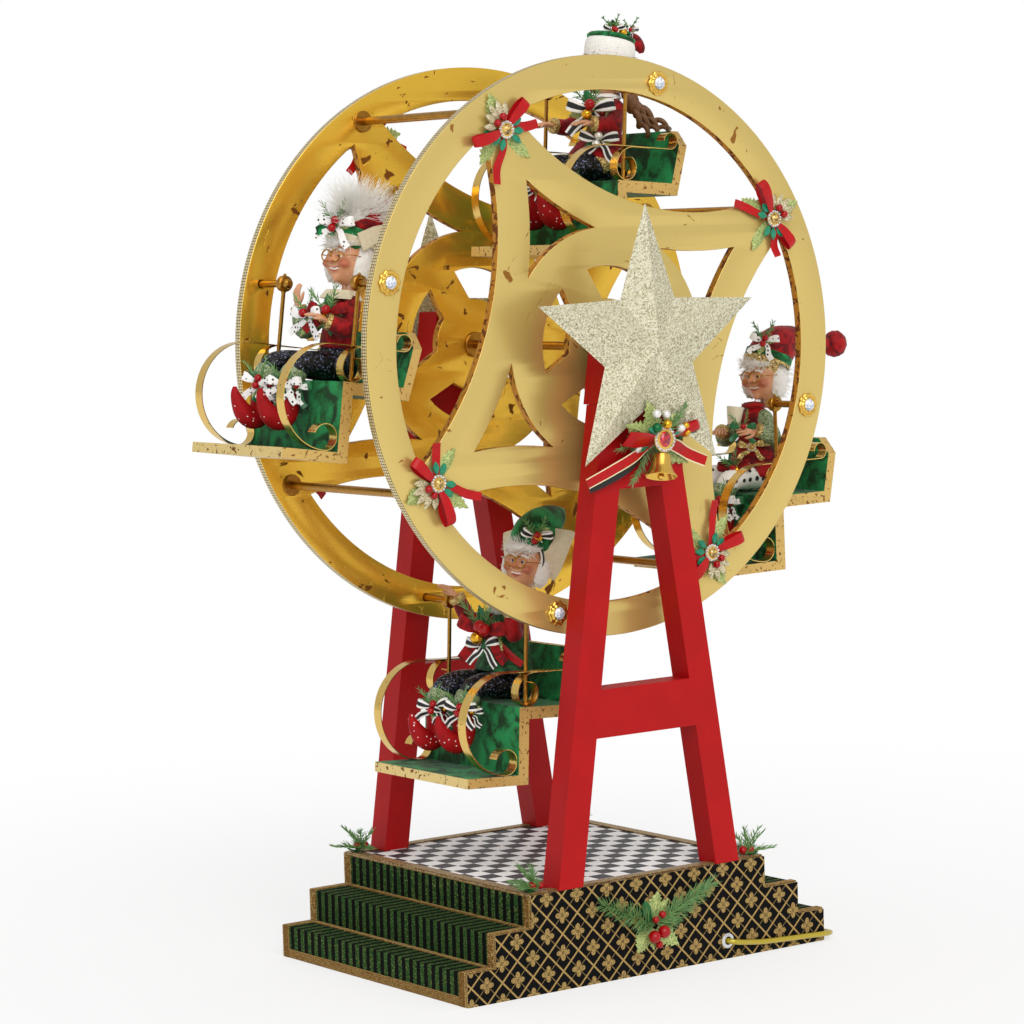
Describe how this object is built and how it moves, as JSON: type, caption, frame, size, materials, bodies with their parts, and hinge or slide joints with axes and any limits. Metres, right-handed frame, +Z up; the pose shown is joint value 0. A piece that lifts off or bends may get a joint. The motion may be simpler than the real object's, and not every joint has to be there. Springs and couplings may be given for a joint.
{
  "type": "motorised ferris wheel display piece",
  "caption": "Motor-driven holiday ferris wheel on a stepped base: two pierced gold discs carry hanging benches with seated elf dolls between red A-frames topped by stars.",
  "frame": {"origin": "centre of the base's underside, on the surface that the piece stands on", "axes": "+X along the plane of the wheel, away from the way the riders face; +Y along the axle, away from the side with the cord; +Z up"},
  "size_m": [0.7524, 0.3878, 0.927],
  "materials": {
    "board": "raw board, hidden",
    "lattice_cloth": "black cloth with a gold lattice",
    "check_cloth": "charcoal and white check",
    "stripe_carpet": "green and black stripes with gold flecks",
    "gold_braid": "metallic braid",
    "red_paint": "deep red satin paint",
    "steel": "bright",
    "glitter": "champagne glitter",
    "foliage": "holly, pine, ribbon and berries",
    "gold_flex": "clear gold flat twin flex",
    "gold_leaf": "antiqued gold leaf",
    "brass": "antiqued gilt",
    "green_velvet": "dark green velvet with gold edges",
    "elf_trousers": "black sequins, red velvet boots",
    "elf_suit": "red and green velvet",
    "elf_skin": "doll face, white hair, trimmed hat"
  },
  "bodies": {
    "stand": {"base_core": "board", "near_side_cover": "lattice_cloth", "far_side_cover": "lattice_cloth", "platform_cover": "check_cloth", "left_stair_carpet": "stripe_carpet", "right_stair_carpet": "stripe_carpet", "platform_braid": "gold_braid", "near_a_frame": "red_paint", "far_a_frame": "red_paint", "near_head_housing": "red_paint", "far_head_housing": "red_paint", "gear_motor": "steel", "cord_eyelet": "steel", "near_star": "glitter", "far_star": "glitter", "near_star_spray": "foliage", "far_star_spray": "foliage", "base_holly_spray": "foliage", "power_cord_run": "gold_flex", "power_cord_coil": "gold_flex", "power_plug": "gold_flex"},
    "wheel": {"near_disc": "gold_leaf", "far_disc": "gold_leaf", "axle": "brass", "stretcher_with_bows_1": "foliage", "stretcher_with_bows_2": "foliage", "stretcher_with_bows_3": "foliage", "stretcher_with_bows_4": "foliage"},
    "left_pins": {"left_near_pin": "brass", "left_far_pin": "brass"},
    "left_gondola": {"left_bench": "green_velvet", "left_near_hanger": "brass", "left_far_hanger": "brass", "left_elf_legs": "elf_trousers", "left_elf_body": "elf_suit", "left_elf_head": "elf_skin"},
    "bottom_pins": {"bottom_near_pin": "brass", "bottom_far_pin": "brass"},
    "bottom_gondola": {"bottom_bench": "green_velvet", "bottom_near_hanger": "brass", "bottom_far_hanger": "brass", "bottom_elf_legs": "elf_trousers", "bottom_elf_body": "elf_suit", "bottom_elf_head": "elf_skin"},
    "right_pins": {"right_near_pin": "brass", "right_far_pin": "brass"},
    "right_gondola": {"right_bench": "green_velvet", "right_near_hanger": "brass", "right_far_hanger": "brass", "right_elf_legs": "elf_trousers", "right_elf_body": "elf_suit", "right_elf_head": "elf_skin"},
    "top_pins": {"top_near_pin": "brass", "top_far_pin": "brass"},
    "top_gondola": {"top_bench": "green_velvet", "top_near_hanger": "brass", "top_far_hanger": "brass", "top_elf_legs": "elf_trousers", "top_elf_body": "elf_suit", "top_elf_head": "elf_skin"}
  },
  "joints": [
    {"name": "wheel_spin", "type": "hinge", "parent": "stand", "child": "wheel", "pos_m": [0, 0, 0.606], "axis": [0, 1, 0], "continuous": true},
    {"name": "level_left", "type": "hinge", "parent": "wheel", "child": "left_pins", "pos_m": [-0.25259, 0, 0.67558], "axis": [0, 1, 0], "continuous": true},
    {"name": "swing_left", "type": "hinge", "parent": "left_pins", "child": "left_gondola", "pos_m": [-0.25259, 0, 0.67558], "axis": [0, 1, 0], "continuous": true},
    {"name": "level_bottom", "type": "hinge", "parent": "wheel", "child": "bottom_pins", "pos_m": [-0.06958, 0, 0.35341], "axis": [0, 1, 0], "continuous": true},
    {"name": "swing_bottom", "type": "hinge", "parent": "bottom_pins", "child": "bottom_gondola", "pos_m": [-0.06958, 0, 0.35341], "axis": [0, 1, 0], "continuous": true},
    {"name": "level_right", "type": "hinge", "parent": "wheel", "child": "right_pins", "pos_m": [0.25259, 0, 0.53642], "axis": [0, 1, 0], "continuous": true},
    {"name": "swing_right", "type": "hinge", "parent": "right_pins", "child": "right_gondola", "pos_m": [0.25259, 0, 0.53642], "axis": [0, 1, 0], "continuous": true},
    {"name": "level_top", "type": "hinge", "parent": "wheel", "child": "top_pins", "pos_m": [0.06958, 0, 0.85859], "axis": [0, 1, 0], "continuous": true},
    {"name": "swing_top", "type": "hinge", "parent": "top_pins", "child": "top_gondola", "pos_m": [0.06958, 0, 0.85859], "axis": [0, 1, 0], "continuous": true}
  ],
  "couplings": [
    {"joint": "level_left", "follows": "wheel_spin", "ratio": -1},
    {"joint": "level_bottom", "follows": "wheel_spin", "ratio": -1},
    {"joint": "level_right", "follows": "wheel_spin", "ratio": -1},
    {"joint": "level_top", "follows": "wheel_spin", "ratio": -1}
  ]
}
